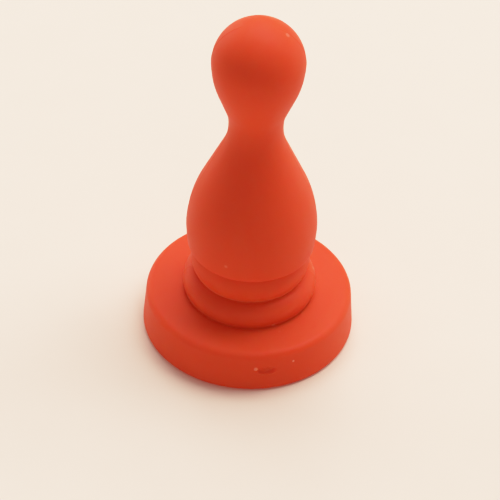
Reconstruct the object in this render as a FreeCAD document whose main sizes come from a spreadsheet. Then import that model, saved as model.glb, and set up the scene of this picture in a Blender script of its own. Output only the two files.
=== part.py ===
import FreeCAD, Part
import Sketcher
import os
from math import atan2, cos, pi, radians, sin, tan

# A playing pawn in two moulded plastic pieces. base_disc is a drafted round foot with a tapered plug
# standing on it. pawn_figure is the head, neck, pear-shaped body and two bead rings, cored from below,
# and it stands on the disc with the plug inside its core. Z is the axis and the table is Z = 0.

SIZES = (
    ("base_diameter", 14.15),     # across the foot of the disc's wall
    ("base_thickness", 3.0),
    ("base_draft", 4.2),          # degrees, the wall narrows upwards
    ("base_top_round", 0.45),
    ("base_foot_round", 0.3),
    ("recess_diameter", 10.4),    # shallow recess that leaves a ring to stand on
    ("recess_depth", 0.5),
    ("ejector_diameter", 1.5),
    ("ejector_depth", 0.08),
    ("ejector_circle", 3.3),      # radius of the circle the ejector pins stand on
    ("ejector_count", 3),
    ("lower_ring_radius", 4.46),  # widest, and it tucks in under that to stand on the disc
    ("lower_ring_level", 0.7),    # from the disc up to the widest level
    ("lower_ring_height", 1.69),  # from the disc up to the groove between the rings
    ("waist_radius", 3.54),       # bottom of the groove between the rings
    ("upper_ring_height", 2.16),
    ("upper_ring_round", 1.8),
    ("groove_radius", 3.64),      # bottom of the groove under the lip
    ("lip_rise", 0.25),
    ("lip_radius", 4.19),
    ("lip_round", 0.12),
    ("belly_rise", 1.42),         # from the lip up to the widest level
    ("belly_radius", 4.305),
    ("body_height", 9.85),        # from the lip up to the narrowest level
    ("body_straight", 3.42),      # straight stretch between the belly's round and the neck's
    ("neck_radius", 1.755),
    ("neck_lower_round", 4.05),
    ("neck_upper_round", 3.5),
    ("head_height", 8.05),        # from the narrowest level up to the top
    ("head_straight", 1.63),
    ("head_radius", 3.0),
    ("core_mouth_radius", 2.4),
    ("core_draft", 5.5),          # degrees, the core narrows upwards
    ("core_straight", 7.25),      # up to where the domed end begins
    ("plug_length", 3.0),
    ("plug_clearance", 0.03),     # all round, between the plug and the core
    ("plug_tip_chamfer", 0.35),
)

# Sketcher's own numbers for the origin, the two axes, and the points of a line or an arc
ORIGIN = (-1, 1)
H_AXIS, V_AXIS = -1, -2
START, END, CENTRE = 1, 2, 3

UP = FreeCAD.Vector(0, 0, 1)


def make_sheet(doc):
    """The driving dimensions, each in a cell of its own with a word for a name."""
    sheet = doc.addObject("Spreadsheet::Sheet", "Sizes")
    for row, (alias, value) in enumerate(SIZES, start=1):
        sheet.set("A%d" % row, alias)
        sheet.set("B%d" % row, str(value))
        sheet.setAlias("B%d" % row, alias)
    doc.recompute()
    return sheet


def origin_plane(body, role):
    return next(item for item in body.Origin.OriginFeatures if item.Role == role)


def new_sketch(body, name, role, lift=None):
    """A sketch on one of the body's own planes, lifted off it by an expression where one is given."""
    sketch = body.newObject("Sketcher::SketchObject", name)
    sketch.AttachmentSupport = [(origin_plane(body, role), "")]
    sketch.MapMode = "FlatFace"
    if lift:
        sketch.setExpression(".AttachmentOffset.Base.z", lift)
    return sketch


def bind(sketch, name, expression, kind, *where):
    """A dimension of the sketch that follows the sheet."""
    value = float(sketch.evalExpression(expression))
    index = sketch.addConstraint(Sketcher.Constraint(kind, *where, value))
    sketch.renameConstraint(index, name)
    sketch.setExpression("Constraints." + name, expression)


def relate(sketch, kind, *where):
    sketch.addConstraint(Sketcher.Constraint(kind, *where))


def point(r, z):
    return FreeCAD.Vector(r, z, 0)


def add_arc(sketch, centre, radius, first, last):
    """An arc anticlockwise from one angle to another, in radians."""
    circle = Part.Circle(centre, UP, radius)
    return sketch.addGeometry(Part.ArcOfCircle(circle, first, last), False)


def add_line(sketch, start, end):
    return sketch.addGeometry(Part.LineSegment(start, end), False)


def arc_centre_left(start, end, radius):
    """Centre of the arc of this radius through both points that bulges to the right."""
    half = (end - start) * 0.5
    reach = (radius ** 2 - half.Length ** 2) ** 0.5
    left = point(-half.y, half.x).normalize()
    return start + half + left * reach


def s_curve(wide, narrow, straight, narrow_round):
    """Turn of the flank, and radius of its wide end, for a flank upright at both ends."""
    inward = wide.x - narrow.x
    height = abs(narrow.y - wide.y)
    turn = 2 * atan2(inward, straight + height)
    wide_round = (height - straight * cos(turn)) / sin(turn) - narrow_round
    return turn, wide_round


def on_circle(centre, radius, angle):
    return centre + point(radius * cos(angle), radius * sin(angle))


def circle_edge(feature, radius, height, near=0.02):
    """Name of the feature's round edge with this radius at this height."""
    for number, edge in enumerate(feature.Shape.Edges, start=1):
        if not isinstance(edge.Curve, Part.Circle):
            continue
        middle = edge.Curve.Center
        if abs(edge.Curve.Radius - radius) < near and abs(middle.z - height) < near:
            return "Edge%d" % number
    raise ValueError("no round edge of radius %.3f at height %.3f" % (radius, height))


def round_edge(body, base, name, edge, size):
    """A fillet of the named size on one round edge."""
    fillet = body.newObject("PartDesign::Fillet", name)
    fillet.Base = (base, [edge])
    fillet.setExpression("Radius", size)
    body.Document.recompute()
    return fillet


def revolve(body, sketch, kind, name):
    feature = body.newObject(kind, name)
    feature.Profile = sketch
    feature.ReferenceAxis = (sketch, ["V_Axis"])
    feature.Angle = 360
    body.Document.recompute()
    return feature


# the arc that is widest at the lower ring's level and runs up into the groove between the rings
RING_INWARD = "(Sizes.lower_ring_radius - Sizes.waist_radius)"
RING_RISE = "(Sizes.lower_ring_height - Sizes.lower_ring_level)"
LOWER_RING_ROUND = "(%s^2 + %s^2) / (2 * %s)" % (RING_INWARD, RING_RISE, RING_INWARD)


def figure_outline(body, sheet):
    """Half section of the figure's outside, from its seat on the disc to the top of the head."""
    levels = {
        "waist": "Sizes.lower_ring_height",
        "groove": "Sizes.lower_ring_height + Sizes.upper_ring_height",
        "lip": "Sizes.lower_ring_height + Sizes.upper_ring_height + Sizes.lip_rise",
    }
    levels["belly"] = levels["lip"] + " + Sizes.belly_rise"
    levels["neck"] = levels["lip"] + " + Sizes.body_height"
    levels["head"] = levels["neck"] + " + Sizes.head_height - Sizes.head_radius"

    sketch = new_sketch(body, "figure_outline", "XZ_Plane")
    level = {name: float(sketch.evalExpression(text)) for name, text in levels.items()}

    # the points that the outline passes through, and the rounds that follow from them
    waist = point(sheet.waist_radius, level["waist"])
    groove = point(sheet.groove_radius, level["groove"])
    lip = point(sheet.lip_radius, level["lip"])
    belly = point(sheet.belly_radius, level["belly"])
    neck = point(sheet.neck_radius, level["neck"])
    cheek = point(sheet.head_radius, level["head"])
    top = point(0, level["head"] + sheet.head_radius)

    ring_round = float(sketch.evalExpression(LOWER_RING_ROUND))
    ring_centre = point(sheet.lower_ring_radius - ring_round, sheet.lower_ring_level)
    seat = point(ring_centre.x + (ring_round ** 2 - ring_centre.y ** 2) ** 0.5, 0)
    bead_centre = arc_centre_left(waist, groove, sheet.upper_ring_round)
    tuck = belly.x - lip.x
    tuck_round = ((belly.y - lip.y) ** 2 + tuck ** 2) / (2 * tuck)
    tuck_centre = belly - point(tuck_round, 0)
    body_turn, belly_round = s_curve(belly, neck, sheet.body_straight, sheet.neck_lower_round)
    head_turn, cheek_round = s_curve(cheek, neck, sheet.head_straight, sheet.neck_upper_round)
    belly_centre = belly - point(belly_round, 0)
    lower_neck_centre = neck + point(sheet.neck_lower_round, 0)
    upper_neck_centre = neck + point(sheet.neck_upper_round, 0)
    cheek_centre = cheek - point(cheek_round, 0)

    def angle_at(centre, spot):
        return atan2(spot.y - centre.y, spot.x - centre.x)

    lower_ring = add_arc(sketch, ring_centre, ring_round,
                         angle_at(ring_centre, seat), angle_at(ring_centre, waist))
    upper_ring = add_arc(sketch, bead_centre, sheet.upper_ring_round,
                         angle_at(bead_centre, waist), angle_at(bead_centre, groove))
    under_lip = add_line(sketch, groove, lip)
    tuck_arc = add_arc(sketch, tuck_centre, tuck_round, angle_at(tuck_centre, lip), 0)
    belly_arc = add_arc(sketch, belly_centre, belly_round, 0, body_turn)
    flank = add_line(sketch, on_circle(belly_centre, belly_round, body_turn),
                     on_circle(lower_neck_centre, sheet.neck_lower_round, pi + body_turn))
    lower_neck = add_arc(sketch, lower_neck_centre, sheet.neck_lower_round, pi, pi + body_turn)
    upper_neck = add_arc(sketch, upper_neck_centre, sheet.neck_upper_round, pi - head_turn, pi)
    jaw = add_line(sketch, on_circle(upper_neck_centre, sheet.neck_upper_round, pi - head_turn),
                   on_circle(cheek_centre, cheek_round, -head_turn))
    cheek_arc = add_arc(sketch, cheek_centre, cheek_round, -head_turn, 0)
    crown = add_arc(sketch, point(0, level["head"]), sheet.head_radius, 0, pi / 2)
    axis = add_line(sketch, top, point(0, 0))
    underside = add_line(sketch, point(0, 0), seat)

    relate(sketch, "Coincident", lower_ring, END, upper_ring, START)
    relate(sketch, "Coincident", upper_ring, END, under_lip, START)
    relate(sketch, "Coincident", under_lip, END, tuck_arc, START)
    relate(sketch, "Coincident", tuck_arc, END, belly_arc, START)
    relate(sketch, "Tangent", belly_arc, END, flank, START)
    relate(sketch, "Tangent", flank, END, lower_neck, END)
    relate(sketch, "Coincident", lower_neck, START, upper_neck, END)
    relate(sketch, "Tangent", upper_neck, START, jaw, START)
    relate(sketch, "Tangent", jaw, END, cheek_arc, START)
    relate(sketch, "Coincident", cheek_arc, END, crown, START)
    relate(sketch, "Coincident", crown, END, axis, START)
    relate(sketch, "Coincident", axis, END, *ORIGIN)
    relate(sketch, "Coincident", axis, END, underside, START)
    relate(sketch, "Coincident", underside, END, lower_ring, START)
    relate(sketch, "Horizontal", underside)
    relate(sketch, "Vertical", axis)
    relate(sketch, "PointOnObject", crown, CENTRE, V_AXIS)
    # an arc whose centre is level with its end is upright there
    for arc, end in ((tuck_arc, END), (belly_arc, START), (lower_neck, START),
                     (upper_neck, END), (cheek_arc, END), (crown, START)):
        relate(sketch, "Horizontal", arc, CENTRE, arc, end)

    for name, arc, end in (("waist", lower_ring, END), ("groove", upper_ring, END),
                           ("lip", tuck_arc, START), ("belly", belly_arc, START),
                           ("neck", lower_neck, START)):
        bind(sketch, name + "_radius", "Sizes.%s_radius" % name, "DistanceX", *ORIGIN, arc, end)
        bind(sketch, name + "_level", levels[name], "DistanceY", *ORIGIN, arc, end)
    bind(sketch, "lower_ring_round", LOWER_RING_ROUND, "Radius", lower_ring)
    bind(sketch, "lower_ring_level", "Sizes.lower_ring_level", "DistanceY", *ORIGIN, lower_ring, CENTRE)
    bind(sketch, "head_level", levels["head"], "DistanceY", *ORIGIN, crown, CENTRE)
    bind(sketch, "head_radius", "Sizes.head_radius", "Radius", crown)
    bind(sketch, "upper_ring_round", "Sizes.upper_ring_round", "Radius", upper_ring)
    bind(sketch, "neck_lower_round", "Sizes.neck_lower_round", "Radius", lower_neck)
    bind(sketch, "neck_upper_round", "Sizes.neck_upper_round", "Radius", upper_neck)
    bind(sketch, "body_straight", "Sizes.body_straight", "Distance", flank)
    bind(sketch, "head_straight", "Sizes.head_straight", "Distance", jaw)
    return sketch


def core_outline(body, sheet):
    """Half section of the core: a drafted wall up from the seat, and a domed end on the axis."""
    sketch = new_sketch(body, "core_outline", "XZ_Plane")
    lean = radians(sheet.core_draft)
    shoulder = point(sheet.core_mouth_radius - sheet.core_straight * tan(lean), sheet.core_straight)
    dome_radius = shoulder.x / cos(lean)
    dome_centre = shoulder.y - dome_radius * sin(lean)

    mouth = add_line(sketch, point(0, 0), point(sheet.core_mouth_radius, 0))
    wall = add_line(sketch, point(sheet.core_mouth_radius, 0), shoulder)
    dome = add_arc(sketch, point(0, dome_centre), dome_radius, lean, pi / 2)
    axis = add_line(sketch, point(0, dome_centre + dome_radius), point(0, 0))

    relate(sketch, "Coincident", mouth, START, *ORIGIN)
    relate(sketch, "Coincident", mouth, END, wall, START)
    relate(sketch, "Tangent", wall, END, dome, START)
    relate(sketch, "Coincident", dome, END, axis, START)
    relate(sketch, "Coincident", axis, END, mouth, START)
    relate(sketch, "Horizontal", mouth)
    relate(sketch, "Vertical", axis)
    relate(sketch, "PointOnObject", dome, CENTRE, V_AXIS)
    bind(sketch, "core_mouth_radius", "Sizes.core_mouth_radius", "Distance", mouth)
    bind(sketch, "core_straight", "Sizes.core_straight", "DistanceY", wall, START, wall, END)
    bind(sketch, "core_end_radius",
         "Sizes.core_mouth_radius - Sizes.core_straight * tan(Sizes.core_draft * 1deg)",
         "DistanceX", *ORIGIN, wall, END)
    return sketch


def make_figure(doc, sheet):
    """Head, neck, body and rings in one piece, standing on the disc."""
    body = doc.addObject("PartDesign::Body", "Figure")
    body.Label = "pawn_figure"
    solid = revolve(body, figure_outline(body, sheet), "PartDesign::Revolution", "figure_turned")
    lip_level = sheet.lower_ring_height + sheet.upper_ring_height + sheet.lip_rise
    edge = circle_edge(solid, sheet.lip_radius, lip_level)
    rounded = round_edge(body, solid, "lip_rounded", edge, "Sizes.lip_round")
    cored = revolve(body, core_outline(body, sheet), "PartDesign::Groove", "core")
    if cored.Shape.Volume > rounded.Shape.Volume - 1:
        raise ValueError("the core removed nothing")
    body.setExpression(".Placement.Base.z", "Sizes.base_thickness")
    return body


def add_circle(sketch, radius_name, expression, centre=None):
    """A circle on the origin, or on the X axis at the distance of a second expression."""
    radius = float(sketch.evalExpression(expression))
    offset = float(sketch.evalExpression(centre)) if centre else 0
    ring = sketch.addGeometry(Part.Circle(point(offset, 0), UP, radius), False)
    bind(sketch, radius_name, expression, "Radius", ring)
    if centre:
        relate(sketch, "PointOnObject", ring, CENTRE, H_AXIS)
        bind(sketch, "centre", centre, "DistanceX", *ORIGIN, ring, CENTRE)
    else:
        relate(sketch, "Coincident", ring, CENTRE, *ORIGIN)


def make_base(doc, sheet):
    """The foot disc, its plug, and the recess with the ejector marks underneath."""
    body = doc.addObject("PartDesign::Body", "Base")
    body.Label = "base_disc"

    outline = new_sketch(body, "disc_outline", "XY_Plane")
    add_circle(outline, "disc_radius", "Sizes.base_diameter / 2")
    disc = body.newObject("PartDesign::Pad", "disc")
    disc.Profile = outline
    disc.setExpression("Length", "Sizes.base_thickness")
    disc.setExpression("TaperAngle", "-Sizes.base_draft")
    doc.recompute()

    plug_outline = new_sketch(body, "plug_outline", "XY_Plane", "Sizes.base_thickness")
    add_circle(plug_outline, "plug_radius", "Sizes.core_mouth_radius - Sizes.plug_clearance")
    plug = body.newObject("PartDesign::Pad", "plug")
    plug.Profile = plug_outline
    plug.setExpression("Length", "Sizes.plug_length")
    plug.setExpression("TaperAngle", "-Sizes.core_draft")
    doc.recompute()

    recess_outline = new_sketch(body, "recess_outline", "XY_Plane")
    add_circle(recess_outline, "recess_radius", "Sizes.recess_diameter / 2")
    recess = body.newObject("PartDesign::Pocket", "recess")
    recess.Profile = recess_outline
    recess.Reversed = True
    recess.setExpression("Length", "Sizes.recess_depth")
    doc.recompute()
    if recess.Shape.Volume > plug.Shape.Volume - 1:
        raise ValueError("the recess removed nothing")

    half = sheet.base_diameter / 2
    top_radius = half - sheet.base_thickness * tan(radians(sheet.base_draft))
    shape = round_edge(body, recess, "top_rounded",
                       circle_edge(recess, top_radius, sheet.base_thickness), "Sizes.base_top_round")
    shape = round_edge(body, shape, "foot_rounded",
                       circle_edge(shape, half, 0), "Sizes.base_foot_round")

    tip_radius = (sheet.core_mouth_radius - sheet.plug_clearance
                  - sheet.plug_length * tan(radians(sheet.core_draft)))
    tip = body.newObject("PartDesign::Chamfer", "plug_tip")
    tip.Base = (shape, [circle_edge(shape, tip_radius, sheet.base_thickness + sheet.plug_length)])
    tip.setExpression("Size", "Sizes.plug_tip_chamfer")
    doc.recompute()

    mark_outline = new_sketch(body, "mark_outline", "XY_Plane", "Sizes.recess_depth")
    add_circle(mark_outline, "mark_radius", "Sizes.ejector_diameter / 2", "Sizes.ejector_circle")
    mark = body.newObject("PartDesign::Pocket", "ejector_mark")
    mark.Profile = mark_outline
    mark.Reversed = True
    mark.setExpression("Length", "Sizes.ejector_depth")
    doc.recompute()
    if mark.Shape.Volume > tip.Shape.Volume - 0.01:
        raise ValueError("the ejector mark removed nothing")

    marks = body.newObject("PartDesign::PolarPattern", "ejector_marks")
    marks.Originals = [mark]
    marks.Axis = (mark_outline, ["N_Axis"])
    marks.Angle = 360
    marks.setExpression("Occurrences", "Sizes.ejector_count")
    body.Tip = marks
    doc.recompute()
    return body


def check(doc, bodies):
    for item in doc.Objects:
        if "Invalid" in item.State or "Error" in item.State:
            raise ValueError("%s failed: %s" % (item.Name, item.State))
        if item.TypeId == "Sketcher::SketchObject" and not item.FullyConstrained:
            raise ValueError("%s is not fully constrained" % item.Name)
    for body in bodies:
        if body.Shape.isNull() or not body.Shape.isValid() or len(body.Shape.Solids) != 1:
            raise ValueError("%s is not one valid solid" % body.Label)


def main():
    doc = FreeCAD.newDocument("Pawn")
    sheet = make_sheet(doc)
    bodies = [make_base(doc, sheet), make_figure(doc, sheet)]
    doc.recompute()
    check(doc, bodies)
    os.makedirs("parts", exist_ok=True)
    for body in bodies:
        body.Shape.exportStep("parts/%s.step" % body.Label)
        box = body.Shape.BoundBox
        print("%s: %.3f mm3, x %.3f..%.3f, z %.3f..%.3f"
              % (body.Label, body.Shape.Volume, box.XMin, box.XMax, box.ZMin, box.ZMax))


main()
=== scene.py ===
import bmesh
import bpy
import math
from mathutils import Matrix, Vector


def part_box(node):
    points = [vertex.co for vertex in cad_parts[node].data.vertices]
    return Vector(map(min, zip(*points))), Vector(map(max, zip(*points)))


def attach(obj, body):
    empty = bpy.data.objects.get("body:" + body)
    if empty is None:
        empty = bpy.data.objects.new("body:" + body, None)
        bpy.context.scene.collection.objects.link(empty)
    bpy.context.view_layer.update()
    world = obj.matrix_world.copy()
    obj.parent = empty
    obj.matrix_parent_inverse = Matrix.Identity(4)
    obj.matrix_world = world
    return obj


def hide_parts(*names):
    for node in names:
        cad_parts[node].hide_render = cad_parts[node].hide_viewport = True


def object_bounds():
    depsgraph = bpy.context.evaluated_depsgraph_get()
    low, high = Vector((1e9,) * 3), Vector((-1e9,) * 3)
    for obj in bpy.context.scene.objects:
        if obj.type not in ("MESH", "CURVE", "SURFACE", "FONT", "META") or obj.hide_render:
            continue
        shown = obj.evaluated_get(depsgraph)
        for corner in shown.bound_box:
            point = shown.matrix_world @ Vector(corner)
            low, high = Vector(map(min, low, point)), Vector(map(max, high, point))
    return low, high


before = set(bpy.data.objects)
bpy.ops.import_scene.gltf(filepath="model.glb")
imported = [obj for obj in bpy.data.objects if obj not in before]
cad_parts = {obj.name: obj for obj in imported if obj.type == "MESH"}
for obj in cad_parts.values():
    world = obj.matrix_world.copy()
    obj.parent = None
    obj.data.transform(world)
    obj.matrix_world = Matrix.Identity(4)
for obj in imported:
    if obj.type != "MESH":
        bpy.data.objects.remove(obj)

cad_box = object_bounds()

# ---------------------------------------------------------------------------------------------------
# The pawn figure: ball head, narrow neck, pear-shaped body and two bead rings in one hollow moulding
# of orange-red plastic. Its mould is taken to open sideways, so a fine parting line runs up both
# sides and over the head. It is taken to be a piece of its own, cemented over the disc's plug.
# ---------------------------------------------------------------------------------------------------

MM = 0.001
UP = Vector((0, 0, 1))
ACROSS = Vector((0, 1, 0))       # a half section lies in the XZ plane, and its arcs turn about this


def start_profile(bm, r, z):
    return bm.verts.new((r * MM, 0, z * MM))


def line_to(bm, here, r, z, cuts=1):
    """Carries the half section on to a point in a straight run of equal edges."""
    step = (Vector((r * MM, 0, z * MM)) - here.co) / cuts
    for _ in range(cuts):
        grown = bmesh.ops.extrude_vert_indiv(bm, verts=[here])["verts"][0]
        grown.co += step
        here = grown
    return here


def arc_by(bm, here, centre_r, centre_z, turn, steps):
    """Carries the half section on by an arc about a centre; a positive turn is anticlockwise."""
    made = bmesh.ops.spin(bm, geom=[here], cent=(centre_r * MM, 0, centre_z * MM), axis=-ACROSS,
                          angle=turn, steps=steps, use_duplicate=False)
    return made["geom_last"][0]


def arc_to(bm, here, r, z, radius, steps):
    """Carries the half section on to a point by an arc of this radius that bulges outwards."""
    start = Vector((here.co.x / MM, here.co.z / MM))
    end = Vector((r, z))
    half = (end - start) / 2
    reach = math.sqrt(radius ** 2 - half.length_squared)
    centre = start + half + Vector((-half.y, half.x)).normalized() * reach
    return arc_by(bm, here, centre.x, centre.y, 2 * math.asin(half.length / radius), steps)


def soften(bm, corners, size, segments=4):
    """Rounds sharp corners of a half section before it is turned."""
    bmesh.ops.bevel(bm, geom=corners, offset=size * MM, affect="VERTICES", segments=segments,
                    profile=0.5, material=-1)


def turn_about_axis(bm, strips):
    """Sweeps the half section about the pawn's axis, strip after strip: (angle, steps) pairs."""
    section = bm.verts[:] + bm.edges[:]
    for angle, steps in strips:
        made = bmesh.ops.spin(bm, geom=section, cent=(0, 0, 0), axis=UP, angle=angle, steps=steps)
        section = made["geom_last"]
    bmesh.ops.remove_doubles(bm, verts=bm.verts, dist=0.002 * MM)
    bmesh.ops.recalc_face_normals(bm, faces=bm.faces)


SHARP_EDGE = math.radians(50)


def finish_piece(bm, name, node):
    """Writes the mesh to an object in place of its CAD node, riding on the pawn's one body."""
    mesh = bpy.data.meshes.new(name)
    bm.to_mesh(mesh)
    bm.free()
    mesh.shade_smooth()
    mesh.set_sharp_from_angle(angle=SHARP_EDGE)
    piece = bpy.data.objects.new(name, mesh)
    bpy.context.collection.objects.link(piece)
    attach(piece, "root")
    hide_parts(node)
    return piece


seat_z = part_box("pawn_figure")[0].z / MM          # the disc's top face
top_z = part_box("pawn_figure")[1].z / MM
ring_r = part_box("pawn_figure")[1].x / MM          # the lower ring is the widest level

ring_level, lower_ring_height, upper_ring_height = 0.7, 1.69, 2.16
lip_rise, belly_rise, body_height = 0.25, 1.42, 9.85
ring_z = seat_z + ring_level
waist_r, waist_z = 3.54, seat_z + lower_ring_height          # bottom of the groove between the rings
groove_r, groove_z = 3.64, waist_z + upper_ring_height       # bottom of the groove under the lip
lip_r, lip_z = 4.19, groove_z + lip_rise
belly_r, belly_z = 4.305, lip_z + belly_rise
neck_r, neck_z = 1.755, lip_z + body_height
head_r = 3.0
head_z = top_z - head_r
upper_ring_round = 1.8
body_straight, neck_lower_round = 3.42, 4.05
head_straight, neck_upper_round = 1.63, 3.5
core_mouth_r, core_draft, core_straight = 2.4, math.radians(5.5), 7.25
fillet_width, fillet_height = 0.13, 0.14                     # a small fillet in the seat's corner
seat_edge_round, groove_round, lip_round = 0.06, 0.1, 0.08


def flank(inward, rise, straight, narrow_round):
    """Turn of a flank that is upright at both ends, and the radius of its wide end."""
    turn = 2 * math.atan2(inward, straight + rise)
    return turn, (rise - straight * math.cos(turn)) / math.sin(turn) - narrow_round


body_turn, belly_round = flank(belly_r - neck_r, neck_z - belly_z, body_straight, neck_lower_round)
head_turn, cheek_round = flank(head_r - neck_r, head_z - neck_z, head_straight, neck_upper_round)
tuck_round = ((belly_z - lip_z) ** 2 + (belly_r - lip_r) ** 2) / (2 * (belly_r - lip_r))
inward = ring_r - waist_r
lower_ring_round = ((waist_z - ring_z) ** 2 + inward ** 2) / (2 * inward)


def ring_r_at(below):
    """Radius of the lower ring at a distance below its widest level."""
    return ring_r - lower_ring_round + math.sqrt(lower_ring_round ** 2 - below ** 2)


fillet_r = ring_r_at(ring_z - seat_z) + fillet_width
fillet_top_r = ring_r_at(ring_z - seat_z - fillet_height)

bm = bmesh.new()
here = start_profile(bm, core_mouth_r, seat_z)
mouth = here
here = line_to(bm, here, fillet_r, seat_z, cuts=3)
here = line_to(bm, here, fillet_top_r, seat_z + fillet_height)
seat_edge = here
here = arc_to(bm, here, waist_r, waist_z, lower_ring_round, 18)
waist = here
here = arc_to(bm, here, groove_r, groove_z, upper_ring_round, 16)
groove = here
here = line_to(bm, here, lip_r, lip_z)
lip = here
here = arc_to(bm, here, belly_r, belly_z, tuck_round, 5)
here = arc_by(bm, here, belly_r - belly_round, belly_z, body_turn, 18)
sweep = Vector((-math.sin(body_turn), math.cos(body_turn))) * body_straight
here = line_to(bm, here, here.co.x / MM + sweep.x, here.co.z / MM + sweep.y, cuts=8)
here = arc_by(bm, here, neck_r + neck_lower_round, neck_z, -body_turn, 10)
here = arc_by(bm, here, neck_r + neck_upper_round, neck_z, -head_turn, 10)
sweep = Vector((math.sin(head_turn), math.cos(head_turn))) * head_straight
here = line_to(bm, here, here.co.x / MM + sweep.x, here.co.z / MM + sweep.y, cuts=4)
here = arc_by(bm, here, head_r - cheek_round, head_z, head_turn, 10)
here = arc_by(bm, here, 0, head_z, math.pi / 2, 26)
core_end_r = core_mouth_r - core_straight * math.tan(core_draft)
core_top_r = core_end_r / math.cos(core_draft)
here = line_to(bm, mouth, core_end_r, seat_z + core_straight, cuts=4)
arc_by(bm, here, 0, seat_z + core_straight - core_top_r * math.sin(core_draft),
       math.pi / 2 - core_draft, 8)
soften(bm, [seat_edge], seat_edge_round)
soften(bm, [waist, groove], groove_round)
soften(bm, [lip], lip_round)

# the two halves of the mould meet on the X axis, a fine raised line each side
SEAM, SEAM_RISE, SEAM_FROM_R = 0.014, 0.02, 1.2
HALF_TURN = ((SEAM, 1), (SEAM, 1), (math.pi - 2 * SEAM, 92))
bmesh.ops.rotate(bm, verts=bm.verts, matrix=Matrix.Rotation(-SEAM, 3, "Z"))
turn_about_axis(bm, HALF_TURN * 2)
for vert in bm.verts:
    outside = vert.co.xy.length > SEAM_FROM_R * MM and abs(vert.co.y) < 0.001 * MM
    if outside and vert.normal.dot(Vector((vert.co.x, 0, 0))) > 0:
        vert.co += vert.normal * SEAM_RISE * MM

figure = finish_piece(bm, "pawn_figure_moulding", "pawn_figure")


class Wire:
    """A number that varies over the surface. Arithmetic on it adds Math nodes."""

    def __init__(self, tree, socket):
        self.tree, self.socket = tree, socket

    def maths(self, operation, *values):
        return self.tree.node("ShaderNodeMath", {"operation": operation}, dict(enumerate(values)))

    def __add__(self, other):
        return self.maths("ADD", self, other)

    def __sub__(self, other):
        return self.maths("SUBTRACT", self, other)

    def __rsub__(self, other):
        return self.maths("SUBTRACT", other, self)

    def __mul__(self, other):
        return self.maths("MULTIPLY", self, other)

    __radd__, __rmul__ = __add__, __mul__


class Finish:
    """The node tree of one material."""

    def __init__(self, name):
        self.material = bpy.data.materials.new(name)
        self.material.use_nodes = True
        self.tree = self.material.node_tree
        self.tree.nodes.clear()

    def node(self, kind, settings=None, inputs=None, output=0):
        """Adds a node: its settings first, then the values or links of its sockets."""
        made = self.tree.nodes.new(kind)
        for key, value in (settings or {}).items():
            if key == "stops":
                for stop, (place, shade) in zip(made.color_ramp.elements, value):
                    stop.position, stop.color = place, (shade, shade, shade, 1)
            else:
                setattr(made, key, value)
        for key, value in (inputs or {}).items():
            if isinstance(value, Wire):
                self.tree.links.new(value.socket, made.inputs[key])
            else:
                made.inputs[key].default_value = value
        return Wire(self, made.outputs[output]) if made.outputs else None

    def blend(self, factor, first, second):
        """A Mix node on two colours; sockets 6 and 7 are its colour inputs and output 2 its colour."""
        return self.node("ShaderNodeMix", {"data_type": "RGBA"}, {0: factor, 6: first, 7: second},
                         output=2)


DEEP_RED, LIGHT_RED = (0.67, 0.061, 0.017, 1), (0.75, 0.073, 0.022, 1)
# a pale colour for the handling specks, also painted on as a highlight at the burr's tip and as a pale
# spot at the nick
SPECK_AND_GLINT_PALE = (0.95, 0.36, 0.22, 1)


def moulded_plastic(name, shift, painted_pale_spots=()):
    """Satin orange-red plastic with flow mottling, a fine grain and a few pale handling specks.

    Each spot given is a centre where the colour is painted pale, and its radius; the burr's spot is a
    painted highlight.
    """
    finish = Finish(name)
    spot = finish.node("ShaderNodeTexCoord", output="Object")
    place = finish.node("ShaderNodeMapping", {}, {"Vector": spot, "Location": (shift * MM, 0, 0)})

    def noise(scale, detail, roughness=0.5):
        return finish.node("ShaderNodeTexNoise", {}, {"Vector": place, "Scale": scale / MM,
                                                      "Detail": detail, "Roughness": roughness})

    flow = noise(0.12, 3.0)
    cloud = noise(0.7, 4.0, 0.6)
    grain = noise(9.0, 3.0, 0.6)
    orange_peel = noise(2.2, 2.0)
    cells = finish.node("ShaderNodeTexVoronoi", {"feature": "F1"},
                        {"Vector": place, "Scale": 0.42 / MM, "Randomness": 1.0})
    speck = finish.node("ShaderNodeValToRGB", {"stops": [(0.045, 1.0), (0.085, 0.0)]}, {"Fac": cells})

    pale = speck * 0.35
    # pale spots painted at the given centres: a painted highlight on the burr's tip, and a pale spot on
    # the nick
    for centre, radius in painted_pale_spots:
        away = finish.node("ShaderNodeVectorMath", {"operation": "DISTANCE"}, {0: spot, 1: centre},
                           output="Value")
        pale += finish.node("ShaderNodeMapRange", {"interpolation_type": "SMOOTHSTEP"},
                            {"Value": away, "From Min": radius * 0.3, "From Max": radius,
                             "To Min": 1.0, "To Max": 0.0})

    tone = flow * 0.4 + cloud * 0.3 + grain * 0.3
    body = finish.blend(tone, DEEP_RED, LIGHT_RED)
    colour = finish.blend(pale, body, SPECK_AND_GLINT_PALE)
    roughness = 0.42 + cloud * 0.14 + grain * 0.05 + speck * 0.1
    height = orange_peel * 0.65 + grain * 0.35 - speck * 0.35
    bump = finish.node("ShaderNodeBump", {}, {"Strength": 0.75, "Distance": 0.02 * MM, "Height": height})
    surface = finish.node("ShaderNodeBsdfPrincipled", {"subsurface_method": "RANDOM_WALK"}, {
        "Base Color": colour, "Roughness": roughness, "Normal": bump, "IOR": 1.5,
        "Specular IOR Level": 0.09,
        "Subsurface Weight": 0.8, "Subsurface Radius": (1.0, 0.15, 0.05), "Subsurface Scale": 0.8 * MM,
    })
    finish.node("ShaderNodeOutputMaterial", {}, {"Surface": surface})
    return finish.material


figure.data.materials.append(moulded_plastic("figure_plastic", 0.0))

# ---------------------------------------------------------------------------------------------------
# The base disc: a round foot in the same plastic, moulded upright, so its wall narrows upwards and
# its edges are rounded. A tapered plug stands up into the figure, three ejector pins marked the
# shallow recess underneath, and the stub of the gate was twisted off the rim near the front.
# ---------------------------------------------------------------------------------------------------

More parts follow.
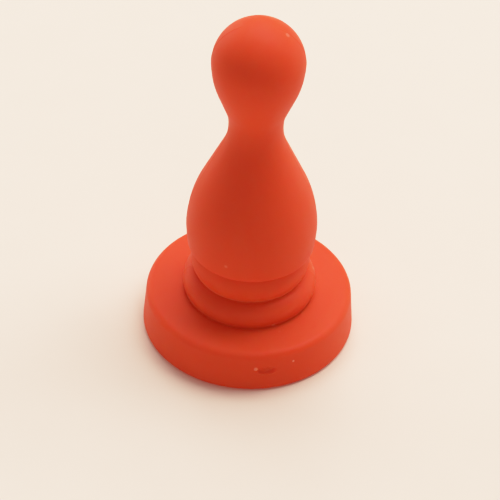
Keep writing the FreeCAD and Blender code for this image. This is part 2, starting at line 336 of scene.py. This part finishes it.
foot_r, thickness, draft = 7.075, seat_z, math.radians(4.2)
top_round, foot_round = 0.45, 0.3
recess_r, recess_depth = 5.2, 0.5
plug_gap, plug_length, plug_chamfer = 0.03, 3.0, 0.35
ejector_r, ejector_depth, ejector_circle, ejector_count = 0.75, 0.08, 3.3, 3

gate_angle, gate_z = math.radians(11.5), 1.72      # the scar's angle is from the front, to the right
gate_half_width, gate_half_height = 0.66, 0.30
burr_across, burr_up, burr_r = -0.72, 0.16, 0.15
nick_angle, nick_z, nick_r = math.radians(27), 2.05, 0.12
gate_depth, gate_unevenness, gate_rim, burr_height, nick_depth = 0.13, 0.025, 0.05, 0.11, 0.05
# radii of the pale spots painted on the wall: a painted highlight on the burr's tip, and a pale spot on
# the nick
burr_glint_r, nick_pale_r = 0.17, 0.11
recess_corner_round = 0.06


def wall_r(z):
    """Outside radius of the drafted wall at a height."""
    return foot_r - z * math.tan(draft)


bm = bmesh.new()
plug_r = core_mouth_r - plug_gap
tip_r = plug_r - plug_length * math.tan(core_draft)
foot_cut = foot_round * math.tan(math.pi / 4 + draft / 2)
top_cut = top_round * math.tan(math.pi / 4 - draft / 2)
here = start_profile(bm, 0, recess_depth)
here = line_to(bm, here, recess_r, recess_depth, cuts=48)
ceiling = here
here = line_to(bm, here, recess_r, 0)
ring_inner = here
here = line_to(bm, here, foot_r - foot_cut, 0, cuts=2)
here = arc_to(bm, here, foot_r - foot_cut * math.sin(draft), foot_cut * math.cos(draft),
              foot_round, 6)
wall_top = thickness - top_cut * math.cos(draft)
here = line_to(bm, here, wall_r(wall_top), wall_top, cuts=56)
here = arc_to(bm, here, wall_r(thickness) - top_cut, thickness, top_round, 8)
here = line_to(bm, here, plug_r, thickness, cuts=10)
here = line_to(bm, here, tip_r, thickness + plug_length, cuts=2)
tip = here
line_to(bm, here, 0, thickness + plug_length, cuts=2)
soften(bm, [ceiling, ring_inner], recess_corner_round, 2)
soften(bm, [tip], plug_chamfer, 1)

# the disc is turned in two strips, and the first has fine columns for the gate's stub and the nick
FINE, FINE_MIDDLE, FINE_STEPS, COARSE_STEPS = math.radians(44), math.radians(17), 110, 150
bmesh.ops.rotate(bm, verts=bm.verts,
                 matrix=Matrix.Rotation(FINE_MIDDLE - math.pi / 2 - FINE / 2, 3, "Z"))
turn_about_axis(bm, ((FINE, FINE_STEPS), (2 * math.pi - FINE, COARSE_STEPS)))


def eased(value, start, end):
    """0 before start, 1 after end, with a smooth step between."""
    share = min(1, max(0, (value - start) / (end - start)))
    return share * share * (3 - 2 * share)


WALL_FROM_R, WALL_LOW, WALL_HIGH = 6.7, 0.4, 2.7
EJECTOR_EDGE = 0.05
sector = 2 * math.pi / ejector_count
for vert in bm.verts:
    r, z = vert.co.xy.length / MM, vert.co.z / MM
    if r < ejector_circle + 2 * ejector_r and abs(z - recess_depth) < 0.01:
        # the ejector pins stood a little proud, and left round hollows in the recess
        turn = (math.atan2(vert.co.y, vert.co.x) + sector / 2) % sector - sector / 2
        away = math.hypot(r * math.cos(turn) - ejector_circle, r * math.sin(turn))
        vert.co.z += ejector_depth * MM * eased(-away, -ejector_r - EJECTOR_EDGE,
                                                -ejector_r + EJECTOR_EDGE)
    if r < WALL_FROM_R or not WALL_LOW < z < WALL_HIGH:
        continue
    # the gate tore off: a low uneven hollow with a rim below it and a burr at its left end
    angle = math.atan2(vert.co.x, -vert.co.y)
    across, up = (angle - gate_angle) * r, z - gate_z
    ring = math.hypot(across / gate_half_width, up / gate_half_height)
    rise = -gate_depth * eased(-ring, -1.0, -0.75)
    uneven = math.sin(across * 13) * math.cos(up * 15 + across * 4)
    rise += gate_unevenness * eased(-ring, -1.0, -0.6) * uneven
    rise += gate_rim * eased(-abs(ring - 1.12), -0.2, 0) * eased(-up, -0.05, 0.2)
    rise += burr_height * eased(-math.hypot(across - burr_across, up - burr_up), -burr_r, -0.02)
    rise -= nick_depth * eased(-math.hypot((angle - nick_angle) * r, z - nick_z), -nick_r, 0)
    vert.co += Vector((vert.co.x, vert.co.y, 0)).normalized() * rise * MM


def on_wall(angle, z):
    """A point on the disc's wall, its angle measured from the front."""
    return Vector((math.sin(angle) * wall_r(z), -math.cos(angle) * wall_r(z), z)) * MM


burr = on_wall(gate_angle + burr_across / foot_r, gate_z + burr_up)
nick = on_wall(nick_angle, nick_z)
disc = finish_piece(bm, "base_disc_moulding", "base_disc")
# the colour is painted pale on the burr's tip as a highlight, and pale on the nick
painted_pale_spots = ((burr, burr_glint_r * MM), (nick, nick_pale_r * MM))
disc.data.materials.append(moulded_plastic("base_plastic", 40.0, painted_pale_spots))

# ---------------------------------------------------------------------------------------------------
# The table: a plain cream card that the pawn stands on.
# ---------------------------------------------------------------------------------------------------

bm = bmesh.new()
bmesh.ops.create_grid(bm, x_segments=1, y_segments=1, size=0.6)
mesh = bpy.data.meshes.new("table_card")
bm.to_mesh(mesh)
bm.free()
table = bpy.data.objects.new("table_card", mesh)
bpy.context.collection.objects.link(table)
DARK_CREAM, LIGHT_CREAM = (0.83, 0.640, 0.502, 1), (0.86, 0.663, 0.522, 1)
card = Finish("cream_card")
place = card.node("ShaderNodeTexCoord", output="Object")
fibre = card.node("ShaderNodeTexNoise", {}, {"Vector": place, "Scale": 0.25 / MM, "Detail": 4.0})
shade = card.blend(fibre, DARK_CREAM, LIGHT_CREAM)
surface = card.node("ShaderNodeBsdfPrincipled", {}, {"Base Color": shade, "Roughness": 0.8})
card.node("ShaderNodeOutputMaterial", {}, {"Surface": surface})
table.data.materials.append(card.material)

# ---------------------------------------------------------------------------------------------------
# Soft studio light: a wide softbox high behind the pawn's right shoulder, dim panels low at its
# right and its back left, and two weaker ones at the left and in front, in a dim white room.
# ---------------------------------------------------------------------------------------------------

centre = (cad_box[0] + cad_box[1]) / 2
LIGHT_DISTANCE = 0.45


def softbox(name, azimuth, elevation, width, height, brightness):
    """An area lamp aimed at the pawn; the azimuth is from behind it, clockwise seen from above."""
    lamp = bpy.data.lights.new(name, "AREA")
    lamp.shape, lamp.size, lamp.size_y = "RECTANGLE", width, height
    lamp.energy = brightness * 4 * math.pi * width * height
    around, up = math.radians(azimuth), math.radians(elevation)
    towards = Vector((math.sin(around) * math.cos(up), math.cos(around) * math.cos(up), math.sin(up)))
    holder = bpy.data.objects.new(name, lamp)
    holder.location = centre + towards * LIGHT_DISTANCE
    holder.rotation_mode = "QUATERNION"
    holder.rotation_quaternion = towards.to_track_quat("Z", "Y")
    bpy.context.collection.objects.link(holder)


softbox("high_softbox", 28, 65, 0.50, 0.27, 1.92)
softbox("right_panel", 70, 14, 0.35, 0.20, 0.50)
softbox("back_left_panel", 315, 14, 0.35, 0.20, 0.76)
softbox("left_panel", 240, 14, 0.35, 0.20, 0.18)
softbox("front_panel", 180, 30, 0.40, 0.30, 0.18)

world = bpy.data.worlds.new("dim_room")
bpy.context.scene.world = world
world.use_nodes = True
world.node_tree.nodes["Background"].inputs["Color"].default_value = (1, 1, 1, 1)
world.node_tree.nodes["Background"].inputs["Strength"].default_value = 0.19

# ---------------------------------------------------------------------------------------------------
# The camera: a long lens close above, looking down on the pawn.
# ---------------------------------------------------------------------------------------------------

elevation, distance, roll = math.radians(41.7), 0.2, math.radians(2.5)
aim = Vector((-0.035 * MM, 0, 6.18 * MM))
lens = bpy.data.cameras.new("studio_camera")
lens.lens, lens.sensor_width = 216.7, 36.0                   # both in millimetres
lens.clip_start, lens.clip_end = 0.01, 10.0
camera = bpy.data.objects.new("studio_camera", lens)
back = Vector((0, -math.cos(elevation), math.sin(elevation)))
camera.location = aim + back * distance
camera.rotation_mode = "QUATERNION"
camera.rotation_quaternion = back.to_track_quat("Z", "Y") @ Matrix.Rotation(roll, 3, "Z").to_quaternion()
bpy.context.collection.objects.link(camera)
bpy.context.scene.camera = camera

# film response: true up to SHOULDER, then highlights roll off softly instead of clipping. The red
# lift in dark tones is a colour grade with no physical basis, and only changes the picture.
SHOULDER, ROLL_OFF, BRIGHTEST = 0.5, 0.5, 3.0
RED_LIFT, RED_FADE = 3.2, 0.12
TONES = (0.03, 0.07, 0.12, 0.19, 0.28, 0.38, SHOULDER, 0.65, 0.85, 1.1, 1.4, 1.8, 2.4)
view = bpy.context.scene.view_settings
view.view_transform = "Standard"
view.use_curve_mapping = True
view.curve_mapping.white_level = (BRIGHTEST, BRIGHTEST, BRIGHTEST)
for channel, lift in enumerate((RED_LIFT, 0.0, 0.0)):
    film = view.curve_mapping.curves[channel].points
    film[0].location = (0, 0)
    film[1].location = (1, 1 - (1 - SHOULDER) * math.exp((SHOULDER - BRIGHTEST) / ROLL_OFF))
    for bright in TONES:
        rolled = 1 - (1 - SHOULDER) * math.exp((SHOULDER - bright) / ROLL_OFF)
        response = bright if bright <= SHOULDER else rolled
        film.new(bright / BRIGHTEST, response + lift * bright * math.exp(-bright / RED_FADE))
view.curve_mapping.update()
